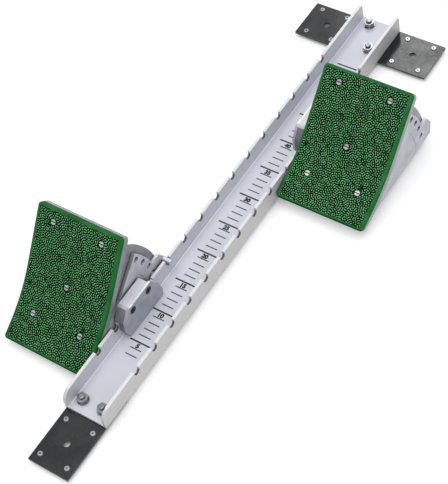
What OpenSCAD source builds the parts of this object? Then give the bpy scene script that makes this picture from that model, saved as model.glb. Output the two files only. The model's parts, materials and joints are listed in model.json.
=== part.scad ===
// Starting blocks: a notched channel rail on two spiked anchor plates, with a tilting foot pedal on
// each side. +Y runs along the rail from the start-line end, +Z is up, and the ground is at z = 0.

/* [Rail] */
// Length of the channel rail
rail_l = 707; // [640:1:800]
// Outside width of the channel
rail_w = 62; // [60:1:64]
// Outside height of the channel
rail_h = 28; // [26:0.5:32]
// Thickness of the channel's floor
rail_floor_t = 4; // [3:0.1:5]
// Thickness of the channel's two flanges
flange_t = 4; // [3:0.1:5]
// Corner radius at the front end of each flange
flange_front_r = 16; // [6:0.5:18]
// Corner radius at the rear end of each flange
flange_rear_r = 5; // [2:0.5:12]

/* [Notches] */
// Number of notches in each flange
notch_count = 15; // [14:1:16]
// Distance from one notch to the next
notch_pitch = 37.5; // [36:0.1:38]
// Distance from the rail's front end to the first notch
notch_start = 72; // [60:0.5:80]
// Width of a notch, which is also twice the radius of its round bottom
notch_w = 9.5; // [9:0.1:10]
// Depth of a notch below the flange's top edge
notch_depth = 9; // [8:0.1:12]

/* [Anchor plates] */
// Thickness of both anchor plates
plate_t = 3; // [2:0.1:5]
// Corner radius of both anchor plates
plate_corner_r = 1; // [0.5:0.5:8]
// Width of the front plate
front_plate_w = 60; // [54:1:70]
// Length of the front plate that stands out ahead of the rail
front_plate_out = 78; // [70:1:90]
// Length of the front plate that lies under the rail
front_plate_under = 44; // [36:1:60]
// Width of the rear cross plate
rear_plate_w = 206; // [190:1:230]
// Length of the rear cross plate along the rail
rear_plate_l = 62; // [58:1:70]
// Distance from the rear cross plate's edge to the rail's rear end
rear_plate_inset = 1; // [0:0.5:4]
// Diameter of the stake holes
stake_hole_d = 9; // [7:0.1:11]
// Distance from the front plate's front edge to its stake hole
front_stake_from_edge = 38.6; // [36:0.1:42]
// Distance of each rear stake hole from the rail's middle
rear_stake_x = 68.75; // [62:0.25:72]

/* [Spikes] */
// Height that the spikes hold the plates above the ground
spike_l = 6; // [4:0.1:7]
// Diameter of a spike at its root
spike_root_d = 5.4; // [4.8:0.1:7]
// Diameter of a spike's blunt tip
spike_tip_d = 1; // [0.6:0.1:2]
// Diameter of a spike's shank in the plate
spike_shank_d = 4.9; // [4:0.1:5.2]
// Diameter of a spike's head on top of the plate
spike_head_d = 7; // [6.2:0.1:9]
// Height of a spike's head
spike_head_h = 1.4; // [1:0.1:2]
// Diameter of the drive socket in a spike's head
spike_socket_d = 2.8; // [2:0.1:3.4]
// Depth of the drive socket
spike_socket_depth = 1.2; // [0.6:0.1:2]
// Spacing of the spikes across the rail, around each stake hole
spike_spread_x = 40.5; // [36:0.5:44]
// Spacing of the front plate's spikes along the rail
front_spike_spread_y = 52; // [46:0.5:56]
// Spacing of the rear plate's spikes along the rail
rear_spike_spread_y = 45; // [40:0.5:48]

/* [Rail bolts] */
// Diameter of the bolts that hold the rail to its plates
bolt_d = 7.9; // [6:0.1:8.5]
// Diameter of a bolt's low round head, under the plate
bolt_head_d = 17; // [14:0.5:20]
// Height of a bolt's head
bolt_head_h = 3.3; // [2:0.1:3.8]
// Length of bolt that stands out above its nut
bolt_tail = 3; // [1:0.5:6]
// Width of a nut across its flats
nut_flats = 13; // [11:0.1:14]
// Height of a nut
nut_h = 6.5; // [5:0.1:8]
// Outside diameter of a washer
washer_d = 16; // [14:0.5:18]
// Thickness of a washer
washer_t = 1.6; // [1:0.1:2]
// Distance of the front bolts from the rail's front end
front_bolt_y = 16.5; // [14:0.5:24]
// Distance of each front bolt from the rail's middle
front_bolt_x = 15.3; // [10:0.1:17]
// Distance of each rear bolt from the rail's middle, on opposite sides
rear_bolt_x = 11; // [9:0.5:15]
// Distance between the rear bolts along the rail
rear_bolt_spread_y = 41; // [30:0.5:44]

/* [Pedal places] */
// Notch that the left pedal's key sits in, counted from the front
left_notch = 3; // [3:1:5]
// Notch that the right pedal's key sits in, counted from the front
right_notch = 12; // [10:1:12]
// Lean of the left foot pad above the ground
left_pad_angle = 44.5; // [36:8.5:44.5]
// Lean of the right foot pad above the ground
right_pad_angle = 36; // [36:8.5:44.5]

/* [Foot pads] */
// Gap between the rail's side and a foot pad's inner edge
pad_gap = 1.3; // [1:0.1:4]
// Width of a foot pad
pad_w = 128; // [120:0.5:128]
// Straight length of a foot pad from its lower to its upper edge
pad_chord = 183.6; // [178:0.1:190]
// How much flatter than the pad's lean its lower edge runs
pad_lower_slope = 19; // [17:0.5:20]
// How much steeper than the pad's lean its upper stretch runs
pad_upper_slope = 7; // [6:0.5:7.5]
// Corner radius of a foot pad
pad_corner_r = 5; // [3:0.5:8]
// Thickness of the rubber
rubber_t = 7; // [6:0.1:8]
// How far the rubber's edge lies inside the pan's edge
rubber_inset = 0.5; // [0.2:0.1:2]
// Thickness of the pan's sheet behind the rubber
pan_t = 3; // [2:0.1:3.2]
// Thickness of the pan's turned-back rim
rim_t = 2; // [1.5:0.1:2.4]
// Depth of the rim behind the pan's sheet
rim_depth = 5; // [3:0.1:6]

/* [Pad screws] */
// Diameter of the pad screws
pad_screw_d = 4.9; // [4.4:0.1:5.4]
// Diameter of a pad screw's slotted head
pad_screw_head_d = 8.4; // [7.6:0.1:10]
// Height of a pad screw's head
pad_screw_head_h = 2.4; // [2:0.1:3]
// How far the heads lie below the rubber's face
pad_screw_sink = 0.6; // [0:0.1:1]
// Width of the driver slot
screw_slot_w = 1.4; // [1:0.1:1.8]
// Depth of the driver slot
screw_slot_depth = 1.3; // [0.8:0.1:1.5]
// Distance of the outer screws from the pad's middle
pad_screw_x = 37; // [30:0.5:42]
// Distance of the two lower screws from the pad's lower edge
pad_screw_low = 43; // [43:0.5:50]
// Distance of the middle screw from the pad's lower edge
pad_screw_mid = 92; // [80:0.5:100]
// Distance of the two upper screws from the pad's lower edge
pad_screw_high = 165; // [150:0.5:170]
// Width of a pad nut across its flats
pad_nut_flats = 8; // [7.6:0.1:9]
// Height of a pad nut
pad_nut_h = 3.2; // [2.5:0.1:3.2]

/* [Hinge] */
// Distance from the pedal's front reference line back to the hinge
hinge_y = 38; // [36:0.5:40]
// Height of the hinge above the channel's floor
hinge_z = 5; // [5:0.1:6]
// Distance of the hinge above the pad's lower edge, along the pad
hinge_up = 28.5; // [27:0.5:29]
// Distance of the hinge behind the pad's straight line
hinge_behind = 23.9; // [23.9:0.1:26]
// Diameter of the hinge pin
hinge_pin_d = 6; // [5:0.1:6.5]
// Diameter of the hinge pin's sunk head
hinge_head_d = 8.6; // [8:0.1:9]
// Depth of the hinge pin's sunk head
hinge_head_t = 1.5; // [1:0.1:2]
// Radius of the round ends of the cheeks and sectors at the hinge
boss_r = 5.5; // [5.3:0.1:5.6]

/* [Cheeks] */
// Thickness of a cheek plate
cheek_t = 4; // [3:0.1:5]
// Radius of a cheek's rear edge about the hinge
cheek_edge_r = 131; // [130.5:0.1:132]
// Angle of the cheek's top corner, seen from the hinge
cheek_top_angle = 36.5; // [35:0.1:37]
// Angle at which the cheek's rear edge runs into its heel
cheek_valley_angle = 13.5; // [12.5:0.1:15]
// Height of the cheek's lower edge above the channel's floor
cheek_bottom = 1; // [0.5:0.1:2]
// Width of the raised band around the latch holes
band_w = 21; // [18:0.5:24]
// Height of the raised band
band_t = 0.6; // [0.3:0.1:0.6]
// Length of a cheek's heel beyond the hinge
heel_l = 150.6; // [150:0.1:154]
// Height of the heel's top above the channel's floor
heel_h = 36; // [34:0.5:38]

/* [Cross members] */
// Thickness of the floor plate between the cheeks
floor_plate_t = 3; // [2:0.1:3.2]
// Distance of the floor plate's front edge behind the hinge
floor_plate_from = 24; // [20:1:40]
// Distance of the floor plate's rear edge behind the hinge
floor_plate_to = 140; // [120:1:140]
// Thickness of the rear web
web_t = 4; // [3:0.1:4.5]
// Height of the rear web
web_h = 13; // [10:0.5:15]

/* [Saddle and keeper] */
// Distance of the keeper plate's face from the rail's middle
keeper_x = 15.3; // [15:0.1:17]
// Thickness of the keeper plate
keeper_t = 3; // [2.5:0.1:4]
// Height of the saddle block's top above the channel's floor
saddle_top = 45.5; // [44:0.5:46]
// Length of the saddle block along the rail
saddle_l = 46; // [44:0.5:50]
// Distance from the saddle block's front to the key in its notch
saddle_ahead = 20.5; // [20:0.5:22]
// Distance from the pedal's front reference line back to the key
key_y = 109; // [108.5:0.1:110]
// How far the keeper plate reaches ahead of the saddle block's top
keeper_front_reach = 13; // [11:0.5:14]
// How far the keeper plate reaches behind the saddle block
keeper_rear_reach = 17; // [15:0.5:18]
// Distance of the front keeper screw from the saddle block's front end
keeper_screw_front_inset = 8.2; // [7.5:0.1:9]
// Distance of the rear keeper screw from the saddle block's rear end
keeper_screw_rear_inset = 5.4; // [4.5:0.1:7]
// Height of the keeper screws above the channel's floor
keeper_screw_z = 36; // [35:0.1:36]
// Diameter of the keeper screws
keeper_screw_d = 5.9; // [5:0.1:6]
// Diameter of the keeper screws' countersunk heads
keeper_head_d = 11; // [10:0.1:11.5]
// Width of the keeper screws' hexagon sockets
keeper_socket = 4; // [3:0.1:4.5]
// How far the rear lug reaches in from the cheek, past the flange
lug_reach = 12.7; // [11:0.1:13]

/* [Latch] */
// Distance of the latch holes from the cheek's rear edge
latch_hole_inset = 6.8; // [6.2:0.1:8]
// Angle of the latch below the pad's straight line
latch_below = 28.5; // [28:0.1:29]
// Angle from one latch hole to the next
latch_step = 8.5; // [8:0.1:9]
// Number of latch holes in each cheek
latch_holes = 4; // [3:1:4]
// Diameter of the latch pins
latch_pin_d = 8; // [7:0.1:8.2]
// Outside diameter of the latch tube
latch_tube_d = 12; // [11:0.1:12.5]
// Depth to which a latch pin enters its cheek
latch_engage = 3; // [2.5:0.1:3.5]
// Travel of a latch pin
latch_travel = 5; // [4.5:0.1:6]
// Length of a latch pin
latch_pin_l = 40; // [34:0.5:42]
// Diameter of a latch pin's finger peg
finger_peg_d = 4; // [3:0.1:5]
// Distance that a finger peg stands out from the latch's middle
finger_peg_l = 15; // [12:0.5:18]
// Distance from a latch pin's tip to its finger peg
finger_peg_back = 24; // [22:0.5:26]

/* [Sectors] */
// Thickness of the sector plates that hold the pan on the hinge
sector_t = 3; // [2:0.1:3.5]
// How far the sectors stand out beyond the cheeks' rear edge
sector_proud = 10.5; // [9:0.5:11]
// Angle of the sectors' lower edge below the pad's straight line
sector_below = 35.8; // [35:0.1:36]

/* [Clearances] */
// Radial clearance of a turning or sliding fit
running_gap = 0.06; // [0.02:0.01:0.09]
// Radial clearance of a bolt, screw or spike in its hole
hole_gap = 0.2; // [0.05:0.05:0.3]
// Clearance between pieces that pass each other
side_gap = 0.4; // [0.3:0.1:0.6]
// Clearance between the latch tube and the sector's slot
latch_gap = 0.4; // [0.3:0.1:0.5]
// Clearance all round the key and the lug in their notches
key_gap = 0.3; // [0.2:0.05:0.4]

/* [Hidden] */
$fn = 64;

LEFT = -1;
RIGHT = 1;

// Cuts run this far past the faces they open
through = 1;

// Whole length, and the rail's ends in the frame whose origin is the middle of the footprint
overall_l = rail_l + front_plate_out;
rail_front = front_plate_out - overall_l / 2;
rail_rear = overall_l / 2;
plate_top = spike_l + plate_t;
deck_z = plate_top + rail_floor_t;
flange_top = rail_h - rail_floor_t;
notch_bottom_z = flange_top - notch_depth;

// Anchor plates
front_stake_y = -overall_l / 2 + front_stake_from_edge;
rear_plate_y = rail_rear - rear_plate_inset - rear_plate_l / 2;
front_spike_places = [for (x = [-1, 1], y = [-1, 1])
  [x * spike_spread_x / 2, front_stake_y + y * front_spike_spread_y / 2]];
rear_spike_places = [for (side = [LEFT, RIGHT], x = [-1, 1], y = [-1, 1])
  [side * rear_stake_x + x * spike_spread_x / 2, rear_plate_y + y * rear_spike_spread_y / 2]];
front_bolt_places = [for (x = [-1, 1]) [x * front_bolt_x, rail_front + front_bolt_y]];
rear_bolt_places = [for (x = [-1, 1])
  [x * rear_bolt_x, rear_plate_y - x * rear_bolt_spread_y / 2]];

// Pedals: each is drawn once, on the right, about its own front reference line
function notch_y(number) = rail_front + notch_start + (number - 1) * notch_pitch;
function station(side) = notch_y(side == LEFT ? left_notch : right_notch) - key_y;
function pad_angle(side) = side == LEFT ? left_pad_angle : right_pad_angle;
hinge = [hinge_y, hinge_z];
function polar(r, a) = [r * cos(a), r * sin(a)];

// Arcs about the hinge
latch_r = cheek_edge_r - latch_hole_inset;
band_inner_r = cheek_edge_r - band_w;
sector_r = cheek_edge_r + sector_proud;

// Cheeks stand just inside the pan's rims, and the sectors just inside the cheeks
pad_x = rail_w / 2 + pad_gap + pad_w / 2;
inner_cheek_x = pad_x - pad_w / 2 + rim_t + side_gap;
outer_cheek_x = pad_x + pad_w / 2 - rim_t - side_gap - cheek_t;
inner_sector_x = inner_cheek_x + cheek_t + 2 * side_gap;
outer_sector_x = outer_cheek_x - 2 * side_gap - sector_t;
between_cheeks = outer_cheek_x - inner_cheek_x - cheek_t;

// Saddle, keeper and lug, in the side view: y along the rail, z above the channel's floor
saddle_front = key_y - saddle_ahead;
saddle_rear = saddle_front + saddle_l;
saddle_x = keeper_x + keeper_t;
saddle_outer_x = pad_x - pad_w / 2 - side_gap;
// The saddle rides this far above the flange, and the keeper this far above the floor
seat_gap = 0.2;
keeper_clear = 0.5;
keeper_nose = [saddle_front - keeper_front_reach + 2, flange_top + 5];
keeper_brow = [saddle_front, saddle_top - 1.5];
keeper_tail = [saddle_rear + keeper_rear_reach - 4, flange_top + 4.6];
// Height of the keeper's foremost point above its lower edge
keeper_bow_rise = 12;
keeper_screw_ys = [saddle_front + keeper_screw_front_inset, saddle_rear - keeper_screw_rear_inset];
lug_y = key_y + 2 * notch_pitch;
lug_r = notch_w / 2 - key_gap;
lug_z = notch_bottom_z + notch_w / 2;

// The cheek's front edge leaves the hinge boss, bends over the saddle and climbs to the top corner
knee_behind = 9;
knee_below = 4.4;
knee = [saddle_front + knee_behind, saddle_top - knee_below];
knee_reach = norm(knee - hinge);
boss_tangent = atan2(knee[1] - hinge[1], knee[0] - hinge[0]) + acos(boss_r / knee_reach);
top_corner = hinge + polar(cheek_edge_r, cheek_top_angle);
heel_slant = [9.6, 16];
heel_undercut = 2.6;
heel_tip = [hinge_y + heel_l, heel_h - heel_slant[1]];
heel_crest = [heel_tip[0] - heel_slant[0], heel_h];
heel_toe = [heel_tip[0] - heel_undercut, cheek_bottom];

// Foot pad profile: an arc at the bottom that runs into a straight stretch, in the pad's own
// frame, where x runs up the pad's straight line and y stands out of its face
pad_turn = pad_lower_slope + pad_upper_slope;
straight_share = (cos(pad_upper_slope) - cos(pad_lower_slope)) / sin(pad_upper_slope);
pad_r = pad_chord / (sin(pad_lower_slope) + sin(pad_upper_slope)
  + straight_share * cos(pad_upper_slope));
pad_centre = pad_r * [sin(pad_lower_slope), cos(pad_lower_slope)];
bend_end = pad_centre + pad_r * [sin(pad_upper_slope), -cos(pad_upper_slope)];
straight_l = pad_r * straight_share;
arc_steps = 14;
arc_lead = 2;
arc_slopes = [for (i = [0:arc_steps])
  -pad_lower_slope - arc_lead + i * (pad_turn + arc_lead) / arc_steps];
sheet_back = rubber_t + pan_t;
rim_back = sheet_back + rim_depth;
// The rim grows from nothing at the lower edge to its full depth over this much of the bend
rim_grow_angle = 8;
function rim_back_at(slope) = sheet_back
  + rim_depth * max(0, min(1, (slope + pad_lower_slope) / rim_grow_angle));
function face_slope(u) = u < bend_end[0] ? asin((u - pad_centre[0]) / pad_r) : pad_upper_slope;
function face_n(u) = u < bend_end[0] ? pad_centre[1] - pad_r * cos(face_slope(u))
  : bend_end[1] + (u - bend_end[0]) * tan(pad_upper_slope);
function bend_point(slope, depth) = pad_centre + (pad_r + depth) * [sin(slope), -cos(slope)];
function top_point(depth) = bend_end + (straight_l + 3) * [cos(pad_upper_slope), sin(pad_upper_slope)]
  + depth * [sin(pad_upper_slope), -cos(pad_upper_slope)];
pad_screw_places = [
  [-pad_screw_x, pad_screw_low], [pad_screw_x, pad_screw_low], [0, pad_screw_mid],
  [-pad_screw_x, pad_screw_high], [pad_screw_x, pad_screw_high]];

// Latch
latch_hole_r = latch_pin_d / 2 + running_gap;
lowest_pad_angle = 36;
latch_tube_x = inner_cheek_x + cheek_t + side_gap;
latch_tube_l = between_cheeks - 2 * side_gap;
inner_pin_tip_x = inner_cheek_x + cheek_t - latch_engage;
spring_l = outer_cheek_x + latch_engage - inner_pin_tip_x - 2 * (latch_pin_l + latch_travel);

// Places and helpers

// Moves a pedal's pieces to their notch, and mirrors them for the left side
module at_pedal(side) {
  translate([0, station(side), deck_z])
    if (side == LEFT) mirror([1, 0, 0]) children();
    else children();
}

// The pad's frame at the hinge: x across, y up the pad's straight line, z out of its face
module at_hinge(side) {
  at_pedal(side)
    translate([0, hinge_y, hinge_z])
      rotate([pad_angle(side), 0, 0])
        children();
}

// The same frame moved to the middle of the pad's lower edge
module at_pad(side) {
  at_hinge(side) translate([pad_x, -hinge_up, hinge_behind]) children();
}

// The latch's frame: x across from the rail's middle, y away from the hinge
module at_latch(side) {
  at_pedal(side)
    translate([0, hinge_y, hinge_z])
      rotate([pad_angle(side) - latch_below, 0, 0])
        translate([0, latch_r, 0])
          children();
}

// Extrudes an outline of the side view across the rail, from x0
module slab(x0, t) {
  translate([x0, 0, 0]) rotate([90, 0, 90]) linear_extrude(t) children();
}

// A round rod across the rail, from x0
module rod_x(x0, l, r) {
  translate([x0, 0, 0]) rotate([0, 90, 0]) cylinder(h = l, r = r);
}

function corner_arc(x, y, r, a0) = [for (i = [0:6]) [x, y] + polar(r, a0 + i * 15)];

// Rectangle with round corners, centred across and starting at y = 0
module round_rect(w, l, r) {
  polygon(concat(
    corner_arc(w / 2 - r, l - r, r, 0), corner_arc(r - w / 2, l - r, r, 90),
    corner_arc(r - w / 2, r, r, 180), corner_arc(w / 2 - r, r, r, 270)));
}

// Hexagon nut with chamfered corners and a clear bore
module nut(flats, h, bore_d) {
  corner_r = flats / 2 / cos(30);
  chamfer = (corner_r - flats / 2) * 0.7;
  difference() {
    intersection() {
      cylinder(h = h, r = corner_r, $fn = 6);
      rotate_extrude() polygon([
        [0, 0], [corner_r - chamfer, 0], [corner_r + 0.01, chamfer], [corner_r + 0.01, h - chamfer],
        [corner_r - chamfer, h], [0, h]]);
    }
    translate([0, 0, -through]) cylinder(h = h + 2 * through, d = bore_d);
  }
}

// Rail

module rail_notches() {
  notch_r = notch_w / 2;
  for (number = [1:notch_count])
    translate([-rail_w / 2 - through, notch_y(number), deck_z + notch_bottom_z + notch_r]) {
      rotate([0, 90, 0]) cylinder(h = rail_w + 2 * through, r = notch_r);
      translate([0, -notch_r, 0]) cube([rail_w + 2 * through, notch_w, notch_depth]);
    }
}

// Rounds off a flange's top corner at one end of the rail; to_end is 1 at the rear, -1 at the front
module flange_corner_cut(end_y, to_end, r) {
  corner_z = deck_z + flange_top - r;
  difference() {
    translate([-rail_w / 2 - through, end_y - (to_end > 0 ? r : through), corner_z])
      cube([rail_w + 2 * through, r + through, r + through]);
    translate([0, end_y - to_end * r, corner_z]) rod_x(-rail_w, 2 * rail_w, r);
  }
}

module rail_channel() {
  inner_w = rail_w - 2 * flange_t;
  color("lavender")
  difference() {
    translate([-rail_w / 2, rail_front, plate_top]) cube([rail_w, rail_l, rail_h]);
    translate([-inner_w / 2, rail_front - through, deck_z])
      cube([inner_w, rail_l + 2 * through, rail_h]);
    rail_notches();
    flange_corner_cut(rail_front, -1, flange_front_r);
    flange_corner_cut(rail_rear, 1, flange_rear_r);
    for (place = concat(front_bolt_places, rear_bolt_places))
      translate([place[0], place[1], plate_top - through])
        cylinder(h = rail_floor_t + 2 * through, d = bolt_d + 2 * hole_gap);
  }
}

// Anchor plates

module plate_holes(spikes, bolts, stakes) {
  for (place = spikes) translate(place) circle(d = spike_shank_d + 2 * running_gap);
  for (place = bolts) translate(place) circle(d = bolt_d + 2 * hole_gap);
  for (place = stakes) translate(place) circle(d = stake_hole_d);
}

module front_anchor_plate() {
  color("dimgray")
  translate([0, 0, spike_l]) linear_extrude(plate_t) difference() {
    translate([0, -overall_l / 2])
      round_rect(front_plate_w, front_plate_out + front_plate_under, plate_corner_r);
    plate_holes(front_spike_places, front_bolt_places, [[0, front_stake_y]]);
  }
}

module rear_anchor_plate() {
  color("dimgray")
  translate([0, 0, spike_l]) linear_extrude(plate_t) difference() {
    translate([0, rear_plate_y - rear_plate_l / 2])
      round_rect(rear_plate_w, rear_plate_l, plate_corner_r);
    plate_holes(rear_spike_places, rear_bolt_places,
      [for (side = [LEFT, RIGHT]) [side * rear_stake_x, rear_plate_y]]);
  }
}

module spike() {
  head_edge = spike_head_h * 0.4;
  head_top = plate_top + spike_head_h;
  rotate_extrude() polygon([
    [0, 0], [spike_tip_d / 2, 0], [spike_root_d / 2, spike_l],
    [spike_shank_d / 2, spike_l], [spike_shank_d / 2, plate_top],
    [spike_head_d / 2, plate_top], [spike_head_d / 2, plate_top + head_edge],
    [spike_head_d / 2 - head_edge, head_top], [spike_socket_d / 2, head_top],
    [spike_socket_d / 2, head_top - spike_socket_depth], [0, head_top - spike_socket_depth]]);
}

module front_spikes() {
  color("gray") for (place = front_spike_places) translate(place) spike();
}

module rear_spikes() {
  color("gray") for (place = rear_spike_places) translate(place) spike();
}

// Rail bolts: a low round head below the plate, washer and nut on the channel's floor

module rail_bolt() {
  bolt_top = deck_z + washer_t + nut_h + bolt_tail;
  point = 1;
  rotate_extrude() polygon([
    [0, spike_l - bolt_head_h], [bolt_head_d / 4, spike_l - bolt_head_h],
    [bolt_head_d / 2, spike_l - bolt_head_h * 0.35], [bolt_head_d / 2, spike_l],
    [bolt_d / 2, spike_l], [bolt_d / 2, bolt_top - point],
    [bolt_d / 2 - point, bolt_top], [0, bolt_top]]);
}

module washer() {
  difference() {
    cylinder(h = washer_t, d = washer_d);
    translate([0, 0, -through]) cylinder(h = washer_t + 2 * through, d = bolt_d + 2 * hole_gap);
  }
}

module bolts(places) {
  color("silver") for (place = places) translate(place) rail_bolt();
}

module washers(places) {
  color("silver") for (place = places) translate([place[0], place[1], deck_z]) washer();
}

module nuts(places) {
  color("silver") for (place = places)
    translate([place[0], place[1], deck_z + washer_t])
      nut(nut_flats, nut_h, bolt_d + 2 * running_gap);
}

// Cheeks

module cheek_outline() {
  translate(hinge) circle(r = boss_r);
  intersection() {
    translate(hinge) circle(r = cheek_edge_r, $fn = 128);
    polygon([
      hinge + polar(boss_r, boss_tangent), knee, knee + 1.3 * (top_corner - knee),
      hinge + polar(1.2 * cheek_edge_r, cheek_valley_angle), hinge]);
  }
  polygon([
    [hinge_y, cheek_bottom], hinge, hinge + polar(cheek_edge_r - 0.5, cheek_valley_angle),
    heel_crest, heel_tip, heel_toe]);
}

module latch_hole_circles() {
  for (i = [0:latch_holes - 1])
    translate(hinge + polar(latch_r, lowest_pad_angle + i * latch_step - latch_below))
      circle(r = latch_hole_r);
}

// Raised band along the cheek's rear edge, around the latch holes
module band_outline() {
  difference() {
    intersection() {
      cheek_outline();
      translate(hinge) circle(r = cheek_edge_r, $fn = 128);
      translate(hinge) polygon([
        [0, 0], polar(1.5 * cheek_edge_r, 2), polar(1.5 * cheek_edge_r, cheek_top_angle + 6)]);
    }
    translate(hinge) circle(r = band_inner_r, $fn = 128);
    latch_hole_circles();
  }
}

module cheek(x0, band_x0) {
  slab(x0, cheek_t) difference() {
    cheek_outline();
    translate(hinge) circle(d = hinge_pin_d + 2 * running_gap);
    latch_hole_circles();
  }
  slab(band_x0, band_t) band_outline();
}

// The inner cheek carries the rear lug that drops into a notch behind the saddle
module inner_cheek(side) {
  color("slategray") at_pedal(side) difference() {
    union() {
      cheek(inner_cheek_x, inner_cheek_x - band_t);
      translate([0, lug_y, lug_z]) rod_x(inner_cheek_x - lug_reach, lug_reach + cheek_t / 2, lug_r);
    }
    translate([0, hinge_y, hinge_z])
      rod_x(inner_cheek_x - through, hinge_head_t + through, hinge_head_d / 2 + running_gap);
    for (y = keeper_screw_ys)
      translate([0, y, keeper_screw_z])
        rod_x(inner_cheek_x - through, cheek_t + 2 * through, keeper_screw_d / 2 + running_gap);
  }
}

module outer_cheek(side) {
  color("slategray") at_pedal(side) cheek(outer_cheek_x, outer_cheek_x + cheek_t);
}

module floor_plate(side) {
  color("slategray") at_pedal(side)
    translate([inner_cheek_x + cheek_t, hinge_y + floor_plate_from, cheek_bottom])
      cube([between_cheeks, floor_plate_to - floor_plate_from, floor_plate_t]);
}

module rear_web(side) {
  color("slategray") at_pedal(side)
    translate([inner_cheek_x + cheek_t, heel_toe[0] - web_t - 1, cheek_bottom])
      cube([between_cheeks, web_t, web_h]);
}

// Saddle, keeper and their screws

// The keeper's side view, from its lower front corner over the top to its lower rear corner
keeper_outline = [
  [keeper_nose[0] + 4, keeper_clear], [keeper_nose[0], keeper_clear + 6],
  [keeper_nose[0] - 2, keeper_clear + keeper_bow_rise], keeper_nose, keeper_brow,
  [saddle_front + 4, saddle_top], [saddle_rear + 2, saddle_top], keeper_tail,
  [keeper_tail[0] + 4, flange_top / 2 - 1], [keeper_tail[0] + 2.5, keeper_clear]];

// The saddle rests on the flange. Its leg hangs inside the channel behind the keeper, its key drops
// into a notch, and its neck joins it to the inner cheek below the sweep of the pad.
module saddle_block(side) {
  key_r = notch_w / 2 - key_gap;
  key_z = notch_bottom_z + notch_w / 2 + seat_gap;
  leg_outer_x = rail_w / 2 - flange_t - side_gap;
  neck_x = rail_w / 2 + side_gap;
  neck_bottom = flange_top / 2;
  neck_top = keeper_screw_z + keeper_screw_d / 2 + 0.6;
  neck_slant = 5;
  color("slategray") at_pedal(side) difference() {
    union() {
      slab(saddle_x, saddle_outer_x - saddle_x) polygon([
        [keeper_nose[0], flange_top + seat_gap], keeper_nose, keeper_brow,
        [saddle_front + 4, saddle_top], [saddle_rear, saddle_top],
        [saddle_rear, flange_top + seat_gap]]);
      slab(saddle_x, leg_outer_x - saddle_x) intersection() {
        polygon(keeper_outline);
        square([saddle_rear + keeper_rear_reach, keeper_nose[1]]);
      }
      slab(neck_x, inner_cheek_x - neck_x) polygon([
        [saddle_front + 0.5, neck_bottom], [saddle_front + 0.5, neck_top - neck_slant],
        [saddle_front + neck_slant + 0.5, neck_top], [saddle_rear, neck_top],
        [saddle_rear, neck_bottom]]);
      translate([0, key_y, key_z]) rod_x(saddle_x, saddle_outer_x - saddle_x, key_r);
      translate([saddle_x, key_y - key_r, key_z])
        cube([saddle_outer_x - saddle_x, 2 * key_r, notch_depth]);
    }
    for (y = keeper_screw_ys)
      translate([0, y, keeper_screw_z])
        rod_x(saddle_x - through, inner_cheek_x, keeper_screw_d / 2 + hole_gap);
  }
}

module keeper_plate(side) {
  head_depth = (keeper_head_d - keeper_screw_d) / 2;
  color("gray") at_pedal(side) difference() {
    slab(keeper_x, keeper_t) polygon(keeper_outline);
    for (y = keeper_screw_ys) translate([0, y, keeper_screw_z]) {
      rod_x(keeper_x - through, keeper_t + 2 * through, keeper_screw_d / 2 + hole_gap);
      translate([keeper_x, 0, 0]) rotate([0, 90, 0])
        cylinder(h = head_depth, r1 = keeper_head_d / 2 + hole_gap, r2 = keeper_screw_d / 2 + hole_gap);
    }
  }
}

module keeper_screws(side) {
  head_depth = (keeper_head_d - keeper_screw_d) / 2;
  screw_l = inner_cheek_x + cheek_t - keeper_x;
  socket_depth = 2;
  color("black") at_pedal(side)
    for (y = keeper_screw_ys) translate([keeper_x, y, keeper_screw_z]) rotate([0, 90, 0])
      difference() {
        rotate_extrude() polygon([
          [0, 0], [keeper_head_d / 2, 0], [keeper_screw_d / 2, head_depth],
          [keeper_screw_d / 2, screw_l], [0, screw_l]]);
        translate([0, 0, -through])
          cylinder(h = socket_depth + through, r = keeper_socket / 2 / cos(30), $fn = 6);
      }
}

module hinge_pin(side) {
  pin_l = outer_cheek_x + cheek_t - inner_cheek_x;
  color("silver") at_pedal(side) translate([inner_cheek_x, hinge_y, hinge_z]) rotate([0, 90, 0])
    rotate_extrude() polygon([
      [0, 0], [hinge_head_d / 2, 0], [hinge_head_d / 2, hinge_head_t],
      [hinge_pin_d / 2, hinge_head_t], [hinge_pin_d / 2, pin_l], [0, pin_l]]);
}

// Foot pad

// Side view of a layer of the pad, between two depths behind the face
module pad_layer(front, back) {
  polygon(concat(
    [for (slope = arc_slopes) bend_point(slope, front)], [top_point(front), top_point(back)],
    [for (i = [arc_steps:-1:0]) bend_point(arc_slopes[i], back)]));
}

// Side view of the pan with its rim, which grows deeper from the lower edge
module rim_layer() {
  polygon(concat(
    [for (slope = arc_slopes) bend_point(slope, rubber_t)], [top_point(rubber_t), top_point(rim_back)],
    [for (i = [arc_steps:-1:0]) bend_point(arc_slopes[i], rim_back_at(arc_slopes[i]))]));
}

// The pad's outline seen from the front, as a prism through all its layers
module pad_prism(inset) {
  translate([0, inset, -pad_chord / 2]) linear_extrude(pad_chord)
    round_rect(pad_w - 2 * inset, pad_chord - 2 * inset, max(0.5, pad_corner_r - inset));
}

// Puts each child on the face at the pad screws, with z along the screw and 0 at the face
module at_pad_screws() {
  for (place = pad_screw_places)
    translate([place[0], place[1], face_n(place[1])])
      rotate([face_slope(place[1]), 0, 0])
        children();
}

module rubber_pad(side) {
  head_r = pad_screw_head_d / 2 + side_gap;
  head_floor = pad_screw_sink + pad_screw_head_h;
  color("seagreen") at_pad(side) difference() {
    intersection() {
      slab(-pad_w / 2 - through, pad_w + 2 * through) pad_layer(0, rubber_t);
      pad_prism(rubber_inset);
    }
    at_pad_screws() {
      translate([0, 0, -head_floor]) cylinder(h = head_floor + through, r = head_r);
      translate([0, 0, -rubber_t - through])
        cylinder(h = rubber_t, d = pad_screw_d + 2 * hole_gap);
    }
  }
}

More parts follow.
